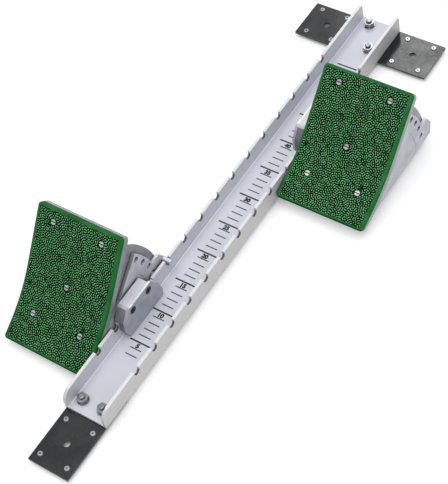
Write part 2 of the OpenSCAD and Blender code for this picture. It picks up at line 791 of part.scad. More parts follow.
module pad_pan(side) {
  color("darkslategray") at_pad(side) difference() {
    intersection() {
      slab(-pad_w / 2 - through, pad_w + 2 * through) rim_layer();
      pad_prism(0);
    }
    intersection() {
      slab(-pad_w / 2 - through, pad_w + 2 * through) pad_layer(sheet_back, rim_back + 4);
      translate([0, -2 * rim_back, -4 * rim_back])
        linear_extrude(8 * rim_back)
          translate([rim_t - pad_w / 2, 0]) square([pad_w - 2 * rim_t, pad_chord - rim_t + 2 * rim_back]);
    }
    at_pad_screws() translate([0, 0, -sheet_back - 4])
      cylinder(h = sheet_back, d = pad_screw_d + 2 * hole_gap);
  }
}

module pad_screws(side) {
  head_floor = pad_screw_sink + pad_screw_head_h;
  head_edge = 0.6;
  head_r = pad_screw_head_d / 2;
  shank_end = sheet_back + pad_nut_h;
  color("silver") at_pad(side) at_pad_screws() difference() {
    rotate_extrude() polygon([
      [0, -pad_screw_sink], [head_r - head_edge, -pad_screw_sink],
      [head_r, -pad_screw_sink - head_edge], [head_r, -head_floor],
      [pad_screw_d / 2, -head_floor], [pad_screw_d / 2, -shank_end], [0, -shank_end]]);
    translate([-head_r - through, -screw_slot_w / 2, -pad_screw_sink - screw_slot_depth])
      cube([pad_screw_head_d + 2 * through, screw_slot_w, screw_slot_depth + through]);
  }
}

module pad_nuts(side) {
  color("silver") at_pad(side) at_pad_screws()
    translate([0, 0, -sheet_back - pad_nut_h])
      nut(pad_nut_flats, pad_nut_h, pad_screw_d + 2 * running_gap);
}

// Sector plate: holds the pan on the hinge pin, and its open slot bears down on the latch tube
module sector(side, x0) {
  slot_r = latch_tube_d / 2 + latch_gap;
  slot_sweep = 12;
  color("dimgray") at_hinge(side) slab(x0, sector_t) difference() {
    union() {
      circle(r = boss_r);
      difference() {
        intersection() {
          circle(r = sector_r, $fn = 128);
          polygon([
            [0, 0], [-boss_r, 0], [-boss_r, hinge_behind], [sector_r, hinge_behind],
            polar(1.2 * sector_r, -sector_below)]);
        }
        translate([-hinge_up, hinge_behind]) pad_layer(-3 * rubber_t, sheet_back);
      }
    }
    circle(d = hinge_pin_d + 2 * running_gap);
    translate(polar(latch_r, -latch_below)) circle(r = slot_r);
    intersection() {
      difference() {
        circle(r = latch_r + slot_r, $fn = 128);
        circle(r = latch_r - slot_r, $fn = 128);
      }
      polygon([
        [0, 0], polar(1.5 * sector_r, -latch_below - slot_sweep), polar(1.5 * sector_r, -latch_below)]);
    }
  }
}

// Latch: a tube between the cheeks with a sprung pin in each end

module latch_tube(side) {
  slot_w = finger_peg_d + 2 * side_gap;
  slot_l = latch_travel + slot_w;
  inner_slot_x = inner_pin_tip_x + finger_peg_back - slot_w / 2;
  outer_slot_x = 2 * pad_x - inner_slot_x - slot_l;
  color("silver") at_latch(side) difference() {
    rod_x(latch_tube_x, latch_tube_l, latch_tube_d / 2);
    rod_x(latch_tube_x - through, latch_tube_l + 2 * through, latch_pin_d / 2 + running_gap);
    for (x = [inner_slot_x, outer_slot_x])
      translate([x, 0, -slot_w / 2]) cube([slot_l, latch_tube_d, slot_w]);
  }
}

// A latch pin with its finger peg, drawn from its tip
module latch_pin() {
  tip = 0.6;
  rotate([0, 90, 0]) rotate_extrude() polygon([
    [0, 0], [latch_pin_d / 2 - tip, 0], [latch_pin_d / 2, tip],
    [latch_pin_d / 2, latch_pin_l], [0, latch_pin_l]]);
  translate([finger_peg_back, 0, 0]) rotate([-90, 0, 0])
    cylinder(h = finger_peg_l, d = finger_peg_d);
}

module latch_inner_pin(side) {
  color("gold") at_latch(side) translate([inner_pin_tip_x, 0, 0]) latch_pin();
}

module latch_outer_pin(side) {
  color("gold") at_latch(side) translate([2 * pad_x - inner_pin_tip_x, 0, 0])
    mirror([1, 0, 0]) latch_pin();
}

// The spring between the pins, at the length it has with both pins drawn in
module latch_spring(side) {
  outer_r = latch_pin_d / 2 - 0.2;
  wire = 1;
  color("silver") at_latch(side) difference() {
    rod_x(pad_x - spring_l / 2, spring_l, outer_r);
    rod_x(pad_x - spring_l / 2 - through, spring_l + 2 * through, outer_r - wire);
  }
}

rail_channel();
front_anchor_plate();
rear_anchor_plate();
front_spikes();
rear_spikes();
bolts(front_bolt_places);  // front_bolts
washers(front_bolt_places);  // front_washers
nuts(front_bolt_places);  // front_nuts
bolts(rear_bolt_places);  // rear_bolts
washers(rear_bolt_places);  // rear_washers
nuts(rear_bolt_places);  // rear_nuts
inner_cheek(LEFT);  // left_inner_cheek
outer_cheek(LEFT);  // left_outer_cheek
floor_plate(LEFT);  // left_floor_plate
rear_web(LEFT);  // left_rear_web
saddle_block(LEFT);  // left_saddle_block
keeper_plate(LEFT);  // left_keeper_plate
keeper_screws(LEFT);  // left_keeper_screws
hinge_pin(LEFT);  // left_hinge_pin
pad_pan(LEFT);  // left_pad_pan
sector(LEFT, inner_sector_x);  // left_inner_sector
sector(LEFT, outer_sector_x);  // left_outer_sector
rubber_pad(LEFT);  // left_rubber_pad
pad_screws(LEFT);  // left_pad_screws
pad_nuts(LEFT);  // left_pad_nuts
latch_tube(LEFT);  // left_latch_tube
latch_spring(LEFT);  // left_latch_spring
latch_inner_pin(LEFT);  // left_latch_inner_pin
latch_outer_pin(LEFT);  // left_latch_outer_pin
inner_cheek(RIGHT);  // right_inner_cheek
outer_cheek(RIGHT);  // right_outer_cheek
floor_plate(RIGHT);  // right_floor_plate
rear_web(RIGHT);  // right_rear_web
saddle_block(RIGHT);  // right_saddle_block
keeper_plate(RIGHT);  // right_keeper_plate
keeper_screws(RIGHT);  // right_keeper_screws
hinge_pin(RIGHT);  // right_hinge_pin
pad_pan(RIGHT);  // right_pad_pan
sector(RIGHT, inner_sector_x);  // right_inner_sector
sector(RIGHT, outer_sector_x);  // right_outer_sector
rubber_pad(RIGHT);  // right_rubber_pad
pad_screws(RIGHT);  // right_pad_screws
pad_nuts(RIGHT);  // right_pad_nuts
latch_tube(RIGHT);  // right_latch_tube
latch_spring(RIGHT);  // right_latch_spring
latch_inner_pin(RIGHT);  // right_latch_inner_pin
latch_outer_pin(RIGHT);  // right_latch_outer_pin
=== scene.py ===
import json
import math
import random

import bpy
from mathutils import Matrix, Quaternion, Vector


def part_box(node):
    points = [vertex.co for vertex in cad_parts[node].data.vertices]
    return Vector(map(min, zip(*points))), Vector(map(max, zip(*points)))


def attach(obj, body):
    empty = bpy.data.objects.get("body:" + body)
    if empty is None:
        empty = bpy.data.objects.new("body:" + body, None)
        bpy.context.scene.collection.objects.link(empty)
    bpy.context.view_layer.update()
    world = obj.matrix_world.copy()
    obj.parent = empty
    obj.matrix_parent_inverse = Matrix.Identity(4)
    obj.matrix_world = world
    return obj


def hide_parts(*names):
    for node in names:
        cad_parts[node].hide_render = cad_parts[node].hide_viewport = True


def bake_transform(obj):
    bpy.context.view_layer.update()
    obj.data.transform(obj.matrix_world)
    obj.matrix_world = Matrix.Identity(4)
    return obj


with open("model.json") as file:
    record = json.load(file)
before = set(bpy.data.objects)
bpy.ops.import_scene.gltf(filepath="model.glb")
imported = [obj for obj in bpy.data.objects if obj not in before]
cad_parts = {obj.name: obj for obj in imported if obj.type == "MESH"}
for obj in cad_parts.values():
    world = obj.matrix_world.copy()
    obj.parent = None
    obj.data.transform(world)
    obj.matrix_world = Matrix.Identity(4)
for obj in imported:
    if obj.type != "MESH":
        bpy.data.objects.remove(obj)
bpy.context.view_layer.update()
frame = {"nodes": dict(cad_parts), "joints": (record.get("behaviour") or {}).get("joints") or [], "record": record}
record = frame["record"]
slotOf = {part["node"]: part["material_slot"] for part in record["subparts"]}
bodyOf = {node: body for body, nodes in record["behaviour"]["bodies"].items() for node in nodes}
print("frame loaded:", len(frame["nodes"]), "nodes")

mm = 0.001
weld = 0.001 * mm  # points nearer than this are one
sides = ("left", "right")


# small helpers for picking and finishing pieces

def deselectAll():
    if bpy.context.mode != "OBJECT":
        bpy.ops.object.mode_set(mode="OBJECT")
    bpy.ops.object.select_all(action="DESELECT")


def pickOnly(*pieces):
    deselectAll()
    for piece in pieces:
        piece.select_set(True)
    bpy.context.view_layer.objects.active = pieces[0]


def nameActive(name):
    piece = bpy.context.object
    piece.name = name
    piece.data.name = name
    return piece


def applyModifier(piece, kind, **settings):
    pickOnly(piece)
    modifier = piece.modifiers.new(kind.title(), kind)
    for key, value in settings.items():
        setattr(modifier, key, value)
    bpy.ops.object.modifier_apply(modifier=modifier.name)


def copyPiece(piece, name, offset=(0, 0, 0)):
    twin = bpy.data.objects.new(name, piece.data.copy())
    bpy.context.collection.objects.link(twin)
    twin.data.transform(Matrix.Translation(offset))
    return twin


def joinPieces(pieces, name):
    pickOnly(*pieces)
    bpy.ops.object.join()
    bpy.ops.object.transform_apply(location=True, rotation=True, scale=True)
    return nameActive(name)


# node tree helpers

def newMaterial(name):
    material = bpy.data.materials.new(name)
    material.use_nodes = True
    tree = material.node_tree
    return material, tree, tree.nodes["Principled BSDF"]


def addNode(tree, kind, inputs=None, **settings):
    node = tree.nodes.new("ShaderNode" + kind)
    for key, value in settings.items():
        setattr(node, key, value)
    for key, value in (inputs or {}).items():
        if isinstance(value, bpy.types.NodeSocket):
            tree.links.new(value, node.inputs[key])
        else:
            node.inputs[key].default_value = value
    return node


def objectPlace(tree):
    return addNode(tree, "TexCoord").outputs["Object"]


def attributeOf(tree, name):
    return addNode(tree, "Attribute", attribute_name=name).outputs["Fac"]


def noiseOf(tree, place, scale, detail=4.0, roughness=0.55):
    inputs = {"Vector": place, "Scale": scale, "Detail": detail, "Roughness": roughness}
    return addNode(tree, "TexNoise", inputs).outputs["Fac"]


def openness(tree, reach, samples):
    # 1 in the open, 0 deep in a gap
    inputs = {"Distance": reach}
    return addNode(tree, "AmbientOcclusion", inputs, samples=samples).outputs["AO"]


def spread(tree, value, low, high, toLow=0.0, toHigh=1.0):
    inputs = {"Value": value, "From Min": low, "From Max": high, "To Min": toLow, "To Max": toHigh}
    return addNode(tree, "MapRange", inputs, clamp=True).outputs["Result"]


def mixColors(tree, factor, first, second):
    node = addNode(tree, "Mix", {0: factor, 6: first, 7: second}, data_type="RGBA")
    return node.outputs[2]


def math2(tree, operation, first, second):
    return addNode(tree, "Math", {0: first, 1: second}, operation=operation).outputs["Value"]


def times(tree, first, second):
    return math2(tree, "MULTIPLY", first, second)


def above(tree, value, limit):
    return math2(tree, "GREATER_THAN", value, limit)


def below(tree, value, limit):
    return math2(tree, "LESS_THAN", value, limit)


def addBump(tree, shader, height, strength, distance):
    bump = addNode(tree, "Bump", {"Height": height, "Strength": strength, "Distance": distance})
    tree.links.new(bump.outputs["Normal"], shader.inputs["Normal"])


# metal finishes: grain along the working direction, patches, worn edges with painted highlights, painted shade and
# painted light, roughness and bump
anyMetal = {  # what a finish has unless it says otherwise
    "stretch": (1, 1, 1), "specular": 0.5,
    "grainDetail": (6.0, 0.6), "patchDetail": (4.0, 0.55), "speckDetail": (2.0, 0.7),
    "patchSpan": (0.36, 0.64), "grimeSpan": (0.5, 0.75), "grimeShade": 0.55,
    "frontSpan": (-0.4, -0.85), "frontShare": 0.85, "upperShare": 1.0,
    "gapSpan": (0.15, 0.80), "gapSamples": 5, "gapShadeColor": (0.01, 0.01, 0.011, 1),
    "edgeSpan": (0.995, 0.93), "edgeSamples": 6, "edgeShare": 0.75,
    "wearSpan": (0.3, 0.62), "wearLeast": 0.35,
    "roughSpan": (0.38, 0.62), "speckShare": 0.6, "bumpStrength": 0.6,
}
metalLooks = {
    "rail_aluminium": {
        "color": (0.655, 0.67, 0.735, 1), "patchColor": (0.615, 0.63, 0.69, 1),
        "edgeWearAndHighlightColor": (0.92, 0.92, 0.94, 1), "metallic": 0.10, "roughness": 0.42,
        "roughnessSpread": 0.06, "specular": 0.25, "stretch": (9, 0.35, 9),
        "grainScale": 120, "grainDepth": 0.05, "patchScale": 12, "speckScale": 900,
        "bump": 0.01 * mm, "edgeWidth": 0.6 * mm, "gapReach": 4 * mm, "gapShadeDepth": 0.35,
        "frontShadeColor": (0.46, 0.47, 0.51, 1),
        "outerX": 30.8 * mm, "outerColor": (0.59, 0.585, 0.575, 1), "outerShare": 0.85,
        "notchFrom": -255 * mm, "notchAbove": 20 * mm, "notchShadeColor": (0.45, 0.46, 0.505, 1),
        "halfWidth": 31 * mm, "flangePitch": 58 * mm, "rimShadeFrom": 0.9 * mm,
        "rimShadeBelow": 32.4 * mm, "rimShadeColor": (0.052, 0.054, 0.062, 1), "rimShadeShare": 0.9,
        "flangeTopHighlightAbove": 36.4 * mm, "flangeTopHighlightColor": (0.76, 0.76, 0.78, 1),
        "cornerX": 25.2 * mm, "cornerWidth": 1.1 * mm, "cornerBelow": 13.8 * mm,
        "cornerHighlightColor": (0.97, 0.97, 0.98, 1),
    },
    "cast_aluminium": {
        "color": (0.58, 0.592, 0.66, 1), "patchColor": (0.485, 0.497, 0.56, 1),
        "edgeWearAndHighlightColor": (0.92, 0.93, 0.96, 1), "metallic": 0.15, "roughness": 0.48,
        "roughnessSpread": 0.12, "specular": 0.35,
        "grainScale": 900, "grainDepth": 0.30, "patchScale": 60, "speckScale": 2200,
        "bump": 0.18 * mm, "edgeWidth": 0.8 * mm, "gapReach": 6 * mm, "gapShadeDepth": 0.60,
        "frontShadeColor": (0.10, 0.102, 0.11, 1),
        "upperFrom": 0.94, "upperLightColor": (0.76, 0.77, 0.83, 1), "upperShare": 0.7,
    },
    "keeper_aluminium": {
        "color": (0.44, 0.455, 0.51, 1), "patchColor": (0.37, 0.40, 0.435, 1),
        "edgeWearAndHighlightColor": (0.70, 0.71, 0.74, 1), "metallic": 0.35, "roughness": 0.40,
        "roughnessSpread": 0.10, "stretch": (1, 0.2, 4),
        "grainScale": 420, "grainDepth": 0.12, "patchScale": 70, "speckScale": 1500,
        "bump": 0.04 * mm, "edgeWidth": 0.5 * mm, "gapReach": 4 * mm, "gapShadeDepth": 0.6,
        "upperFrom": 0.97, "upperLightColor": (0.95, 0.95, 0.95, 1),
    },
    "plate_steel": {
        "color": (0.006, 0.008, 0.010, 1), "patchColor": (0.014, 0.015, 0.015, 1),
        "edgeWearAndHighlightColor": (0.16, 0.17, 0.18, 1), "metallic": 0.0, "roughness": 0.20,
        "roughnessSpread": 0.06, "specular": 0.40,
        "grainScale": 240, "grainDepth": 0.25, "patchScale": 34, "speckScale": 1300,
        "bump": 0.03 * mm, "edgeWidth": 0.5 * mm, "gapReach": 6 * mm, "gapShadeDepth": 0.5,
    },
    "spike_steel": {
        "color": (0.34, 0.35, 0.37, 1), "patchColor": (0.22, 0.23, 0.25, 1),
        "edgeWearAndHighlightColor": (0.80, 0.80, 0.81, 1), "metallic": 0.85, "roughness": 0.24,
        "roughnessSpread": 0.08,
        "grainScale": 900, "grainDepth": 0.2, "patchScale": 300, "speckScale": 2500,
        "bump": 0.03 * mm, "edgeWidth": 0.6 * mm, "gapReach": 3 * mm, "gapShadeDepth": 1.0,
    },
    "zinc_steel": {
        "color": (0.29, 0.30, 0.312, 1), "patchColor": (0.17, 0.177, 0.19, 1),
        "edgeWearAndHighlightColor": (0.88, 0.88, 0.89, 1), "metallic": 0.95, "roughness": 0.18,
        "roughnessSpread": 0.10,
        "grainScale": 700, "grainDepth": 0.2, "patchScale": 160, "speckScale": 2200,
        "bump": 0.04 * mm, "edgeWidth": 0.7 * mm, "gapReach": 3 * mm, "gapShadeDepth": 1.0,
    },
    "bright_zinc": {
        "color": (0.58, 0.59, 0.59, 1), "patchColor": (0.30, 0.31, 0.31, 1),
        "edgeWearAndHighlightColor": (0.90, 0.90, 0.90, 1), "metallic": 0.80, "roughness": 0.34,
        "roughnessSpread": 0.08,
        "grainScale": 700, "grainDepth": 0.2, "patchScale": 220, "speckScale": 2200,
        "bump": 0.03 * mm, "edgeWidth": 0.3 * mm, "gapReach": 4 * mm, "gapShadeDepth": 1.0,
        "gapSpan": (0.62, 0.99),
    },
    "dark_screw": {
        "color": (0.020, 0.020, 0.022, 1), "patchColor": (0.040, 0.040, 0.043, 1),
        "edgeWearAndHighlightColor": (0.30, 0.30, 0.31, 1), "metallic": 0.7, "roughness": 0.35,
        "roughnessSpread": 0.10,
        "grainScale": 900, "grainDepth": 0.2, "patchScale": 200, "speckScale": 2500,
        "bump": 0.03 * mm, "edgeWidth": 0.3 * mm, "gapReach": 3 * mm, "gapShadeDepth": 0.9,
    },
    "pan_steel": {
        "color": (0.32, 0.328, 0.362, 1), "patchColor": (0.262, 0.268, 0.298, 1),
        "edgeWearAndHighlightColor": (0.42, 0.43, 0.46, 1), "metallic": 0.40, "roughness": 0.40,
        "roughnessSpread": 0.10,
        "grainScale": 500, "grainDepth": 0.2, "patchScale": 45, "speckScale": 1800,
        "bump": 0.06 * mm, "edgeWidth": 0.6 * mm, "gapReach": 6 * mm, "gapShadeDepth": 0.7,
    },
    "spring_steel": {
        "color": (0.33, 0.33, 0.34, 1), "patchColor": (0.24, 0.24, 0.25, 1),
        "edgeWearAndHighlightColor": (0.60, 0.60, 0.61, 1), "metallic": 0.95, "roughness": 0.28,
        "roughnessSpread": 0.08,
        "grainScale": 900, "grainDepth": 0.2, "patchScale": 200, "speckScale": 2500,
        "bump": 0.02 * mm, "edgeWidth": 0.2 * mm, "gapReach": 3 * mm, "gapShadeDepth": 0.8,
    },
    "latch_steel": {
        "color": (0.55, 0.555, 0.56, 1), "patchColor": (0.48, 0.485, 0.49, 1),
        "edgeWearAndHighlightColor": (0.80, 0.80, 0.81, 1), "metallic": 0.70, "roughness": 0.34,
        "roughnessSpread": 0.06, "stretch": (0.3, 2, 2),
        "grainScale": 500, "grainDepth": 0.12, "patchScale": 60, "speckScale": 2200,
        "bump": 0.01 * mm, "edgeWidth": 0.3 * mm, "gapReach": 2.5 * mm, "gapShadeDepth": 0.5,
    },
    "tube_zinc": {
        "color": (0.47, 0.475, 0.49, 1), "patchColor": (0.41, 0.415, 0.43, 1),
        "edgeWearAndHighlightColor": (0.74, 0.745, 0.76, 1), "metallic": 0.55, "roughness": 0.38,
        "roughnessSpread": 0.06, "stretch": (0.25, 2, 2),
        "grainScale": 420, "grainDepth": 0.15, "patchScale": 50, "speckScale": 2200,
        "bump": 0.01 * mm, "edgeWidth": 0.3 * mm, "gapReach": 3 * mm, "gapShadeDepth": 0.5,
    },
}


def railMasks(tree, place, normal, look):
    # how strongly each mark shows at a place on the rail, from 0 to 1
    spot = addNode(tree, "SeparateXYZ", {"Vector": place}).outputs
    side = math2(tree, "ABSOLUTE", spot["X"], 0)
    pastFront = above(tree, spot["Y"], look["notchFrom"])
    wall = above(tree, side, look["cornerX"])
    flange = times(tree, wall, above(tree, spot["Z"], look["notchAbove"]))
    flange = times(tree, flange, pastFront)
    across = below(tree, math2(tree, "ABSOLUTE", normal["X"], 0), 0.5)
    notch = times(tree, flange, across)
    fromLeft = math2(tree, "ADD", spot["X"], look["halfWidth"])
    within = math2(tree, "MODULO", fromLeft, look["flangePitch"])  # from a flange's -X face
    rim = above(tree, within, look["rimShadeFrom"])
    rim = times(tree, rim, below(tree, spot["Z"], look["rimShadeBelow"]))
    corner = times(tree, wall, below(tree, side, look["cornerX"] + look["cornerWidth"]))
    corner = times(tree, corner, below(tree, spot["Z"], look["cornerBelow"]))
    return {
        "pastFront": pastFront, "notch": notch, "corner": corner,
        "outer": times(tree, above(tree, side, look["outerX"]), look["outerShare"]),
        "rimShade": times(tree, times(tree, rim, notch), look["rimShadeShare"]),
        "flangeTopHighlight": above(tree, spot["Z"], look["flangeTopHighlightAbove"]),
    }


def edgeMask(tree, patches, look):
    # worn edges with painted highlights, strongest on rounded-over corners, broken up by the patches
    inputs = {"Radius": look["edgeWidth"]}
    soft = addNode(tree, "Bevel", inputs, samples=look["edgeSamples"]).outputs["Normal"]
    true = addNode(tree, "NewGeometry").outputs["Normal"]
    product = addNode(tree, "VectorMath", {0: soft, 1: true}, operation="DOT_PRODUCT")
    mask = spread(tree, product.outputs["Value"], *look["edgeSpan"])
    wear = spread(tree, patches, *look["wearSpan"], look["wearLeast"], 1.0)
    return times(tree, times(tree, mask, wear), look["edgeShare"])


def makeMetal(name, ownLook):
    look = {**anyMetal, **ownLook}
    material, tree, shader = newMaterial(name)
    place = objectPlace(tree)
    drawn = addNode(tree, "Mapping", {"Vector": place, "Scale": look["stretch"]}).outputs["Vector"]
    grain = noiseOf(tree, drawn, look["grainScale"], *look["grainDetail"])
    patches = noiseOf(tree, place, look["patchScale"], *look["patchDetail"])
    specks = noiseOf(tree, place, look["speckScale"], *look["speckDetail"])
    faceNormal = addNode(tree, "NewGeometry").outputs["True Normal"]
    normal = addNode(tree, "SeparateXYZ", {"Vector": faceNormal}).outputs

    patched = spread(tree, patches, *look["patchSpan"])
    color = mixColors(tree, patched, look["color"], look["patchColor"])
    darker = tuple(look["grimeShade"] * channel for channel in look["patchColor"][:3]) + (1,)
    grime = times(tree, spread(tree, grain, *look["grimeSpan"]), look["grainDepth"])
    color = mixColors(tree, grime, color, darker)
    masks = railMasks(tree, place, normal, look) if "notchShadeColor" in look else None
    if masks:  # painted shade: the notch faces are darker; the outer faces are a warmer, darker grey
        color = mixColors(tree, masks["notch"], color, look["notchShadeColor"])
        color = mixColors(tree, masks["outer"], color, look["outerColor"])
    if "frontShadeColor" in look:  # painted shade: faces turned to the rail's front end are darker
        frontShade = times(tree, spread(tree, normal["Y"], *look["frontSpan"]), look["frontShare"])
        if masks:
            frontShade = times(tree, frontShade, masks["pastFront"])
        color = mixColors(tree, frontShade, color, look["frontShadeColor"])
    if masks:  # painted shade as dark rims round the notches' bottoms, painted highlights on the flange tops and along the inner corners
        color = mixColors(tree, masks["rimShade"], color, look["rimShadeColor"])
        # painted highlight on the flange tops
        color = mixColors(tree, masks["flangeTopHighlight"], color, look["flangeTopHighlightColor"])
        # painted highlight along the inner corners
        color = mixColors(tree, masks["corner"], color, look["cornerHighlightColor"])
    if "upperLightColor" in look:  # painted light: faces that look up are brighter
        upperLight = times(tree, above(tree, normal["Z"], look["upperFrom"]), look["upperShare"])
        color = mixColors(tree, upperLight, color, look["upperLightColor"])
    # painted shade: ambient occlusion darkens gaps, corners and recesses
    gapShade = openness(tree, look["gapReach"], look["gapSamples"])
    gapShade = spread(tree, gapShade, *look["gapSpan"], look["gapShadeDepth"], 0.0)
    color = mixColors(tree, gapShade, color, look["gapShadeColor"])
    # worn edges and painted highlights brighten the rounded-over corners
    color = mixColors(tree, edgeMask(tree, patches, look), color, look["edgeWearAndHighlightColor"])
    tree.links.new(color, shader.inputs["Base Color"])

    worn = math2(tree, "ADD", times(tree, grain, 0.5), times(tree, patches, 0.5))
    smooth = look["roughness"] - look["roughnessSpread"]
    rough = look["roughness"] + look["roughnessSpread"]
    worn = spread(tree, worn, *look["roughSpan"], smooth, rough)
    tree.links.new(worn, shader.inputs["Roughness"])
    shader.inputs["Metallic"].default_value = look["metallic"]
    shader.inputs["Specular IOR Level"].default_value = look["specular"]
    height = math2(tree, "ADD", grain, times(tree, specks, look["speckShare"]))
    addBump(tree, shader, height, look["bumpStrength"], look["bump"])
    return material


# rubber of the foot pads: painted shade between the pebbles, painted highlights on their tops, plain on the
# border, painted shade on the lower end
rubberLook = {
    "valleyShade": (0.0, 0.004, 0.0, 1), "middle": (0.002, 0.062, 0.008, 1),
    "top": (0.235, 0.60, 0.285, 1), "middleSpan": (0.12, 0.72), "topSpan": (0.55, 1.0),
    "border": (0.013, 0.125, 0.024, 1), "borderWorn": (0.032, 0.175, 0.050, 1),
    "borderScale": 40, "borderSpan": (0.35, 0.65),
    "under": (0.002, 0.030, 0.005, 1), "underShare": 0.85,
    "beadScale": 480, "beadDetail": 2.0, "beadSpan": (0.36, 0.62, 0.72, 0.96),
    "dust": (0.10, 0.26, 0.13, 1), "dustScale": 120, "dustDetail": 5.0,
    "dustSpan": (0.56, 0.74), "dustShare": 0.06,
    "skinScale": 1500, "skinDetail": (4.0, 0.65), "skinStrength": 0.5, "skinBump": 0.08 * mm,
    "roughSpan": (0.3, 0.7, 0.74, 0.92), "specular": 0.04,
}


def makeRubber(look):
    material, tree, shader = newMaterial("green_rubber")
    place = objectPlace(tree)
    grain = attributeOf(tree, "grain")
    beads = noiseOf(tree, place, look["beadScale"], look["beadDetail"])
    # painted highlights on the pebbles' tops, painted shade down in the valleys
    pebbleHighlight = spread(tree, grain, *look["topSpan"])
    pebbleHighlight = times(tree, pebbleHighlight, spread(tree, beads, *look["beadSpan"]))
    flanks = spread(tree, grain, *look["middleSpan"])
    pebbled = mixColors(tree, flanks, look["valleyShade"], look["middle"])
    pebbled = mixColors(tree, pebbleHighlight, pebbled, look["top"])
    patches = spread(tree, noiseOf(tree, place, look["borderScale"]), *look["borderSpan"])
    plain = mixColors(tree, patches, look["border"], look["borderWorn"])
    # painted shade on the pad's lower end
    lower = times(tree, attributeOf(tree, "lower"), look["underShare"])
    plain = mixColors(tree, lower, plain, look["under"])
    color = mixColors(tree, attributeOf(tree, "field"), plain, pebbled)
    dusty = noiseOf(tree, place, look["dustScale"], look["dustDetail"])
    dusty = times(tree, spread(tree, dusty, *look["dustSpan"]), look["dustShare"])
    color = mixColors(tree, dusty, color, look["dust"])
    tree.links.new(color, shader.inputs["Base Color"])
    skin = noiseOf(tree, place, look["skinScale"], *look["skinDetail"])
    tree.links.new(spread(tree, skin, *look["roughSpan"]), shader.inputs["Roughness"])
    shader.inputs["Specular IOR Level"].default_value = look["specular"]
    addBump(tree, shader, skin, look["skinStrength"], look["skinBump"])
    return material


inkLook = {
    "color": (0.006, 0.006, 0.007, 1), "worn": (0.06, 0.06, 0.065, 1),
    "wornScale": 900, "wornDetail": 5.0, "wornSpan": (0.55, 0.75), "roughSpan": (0, 1, 0.5, 0.7),
}


def makeInk(look):
    material, tree, shader = newMaterial("scale_ink")
    worn = noiseOf(tree, objectPlace(tree), look["wornScale"], look["wornDetail"])
    worn = spread(tree, worn, *look["wornSpan"])
    color = mixColors(tree, worn, look["color"], look["worn"])
    tree.links.new(color, shader.inputs["Base Color"])
    tree.links.new(spread(tree, worn, *look["roughSpan"]), shader.inputs["Roughness"])
    return material


finishes = {name: makeMetal(name, look) for name, look in metalLooks.items()}
finishes["green_rubber"] = makeRubber(rubberLook)
ink = makeInk(inkLook)
print("finishes made:", len(finishes) + 1)


def setFinish(piece, material):
    if not piece.material_slots:
        piece.data.materials.append(material)
    for place in piece.material_slots:
        place.material = material


for nodeName, node in frame["nodes"].items():
    finish = "tube_zinc" if nodeName.endswith("latch_tube") else slotOf[nodeName]
    setFinish(node, finishes[finish])
print("nodes finished")


# copies with rounded edges stand for the castings, plates and fasteners
edgeRounds = {
    "rail_channel": 0.45 * mm, "anchor_plate": 0.3 * mm, "cheek": 0.7 * mm,
    "saddle_block": 0.8 * mm, "keeper_plate": 0.4 * mm, "floor_plate": 0.5 * mm,
    "rear_web": 0.5 * mm, "pad_pan": 0.4 * mm, "sector": 0.4 * mm, "bolts": 0.3 * mm,
    "nuts": 0.35 * mm, "washers": 0.2 * mm, "pad_screws": 0.2 * mm, "keeper_screws": 0.2 * mm,
}
roundLook = {"flat": math.radians(0.4), "sharp": math.radians(38), "segments": 2, "weight": 100}


def roundEdges(nodeName, width, look):
    piece = copyPiece(frame["nodes"][nodeName], "finished_" + nodeName)
    pickOnly(piece)
    bpy.ops.object.mode_set(mode="EDIT")
    bpy.ops.mesh.select_all(action="SELECT")
    bpy.ops.mesh.remove_doubles(threshold=weld)
    bpy.ops.mesh.dissolve_limited(angle_limit=look["flat"])
    bpy.ops.object.mode_set(mode="OBJECT")
    applyModifier(piece, "BEVEL", width=width, segments=look["segments"], limit_method="ANGLE",
                  angle_limit=look["sharp"], use_clamp_overlap=True)
    bpy.ops.object.shade_smooth_by_angle(angle=look["sharp"])
    applyModifier(piece, "WEIGHTED_NORMAL", keep_sharp=True, weight=look["weight"])
    if nodeName.endswith("pad_screws"):
        setFinish(piece, finishes["bright_zinc"])
    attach(piece, bodyOf[nodeName])
    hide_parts(nodeName)


for nodeName in sorted(frame["nodes"]):
    for ending, width in edgeRounds.items():
        if nodeName.endswith(ending):
            roundEdges(nodeName, width, roundLook)
print("edges rounded")


# foot pads: one flat rubber sheet with a pebbled field, copied and curved onto each pan
padLook = {
    "width": 128 * mm, "chord": 183.6 * mm, "inset": 0.5 * mm, "thickness": 7 * mm,
    "lowerSlope": math.radians(19), "upperSlope": math.radians(7),
    "border": 3.6 * mm, "rim": 0.8 * mm, "corner": 4.2 * mm,
    "edge": 1.8 * mm, "edgeTurns": (30, 60, 90), "shadedEnd": 0.05 * mm,
    "step": 0.66 * mm, "fieldInset": 0.4, "backStrip": 8 * mm, "smooth": math.radians(50),
    "pebble": 2.9 * mm, "height": 0.7 * mm,  # from one pebble to the next, and how high
    "fill": 0.265, "softness": 0.85,  # more fill makes the pebbles wider, more softness rounder
    "ripples": 26, "rippleSpread": (0.90, 1.10), "seed": 4,
    "hingeUp": 28.5 * mm, "hingeBehind": 23.9 * mm,
    "angle": {"left": math.radians(44.5), "right": math.radians(36)},
    "screws": ((0, 92 * mm), (-37 * mm, 43 * mm), (-37 * mm, 165 * mm),
               (37 * mm, 43 * mm), (37 * mm, 165 * mm)),  # across and up the pad
    "recess": 4.6 * mm, "recessDepth": 3.0 * mm, "recessSides": 40, "recessWall": 0.3 * mm,
    "screwHole": 2.6 * mm, "cutterRise": 1 * mm,
}
lowerSlope = padLook["lowerSlope"]
upperSlope = padLook["upperSlope"]
straightShare = (math.cos(upperSlope) - math.cos(lowerSlope)) / math.sin(upperSlope)
faceRadius = padLook["chord"] / (
    math.sin(lowerSlope) + math.sin(upperSlope) + straightShare * math.cos(upperSlope))
arcLength = faceRadius * (lowerSlope + upperSlope)
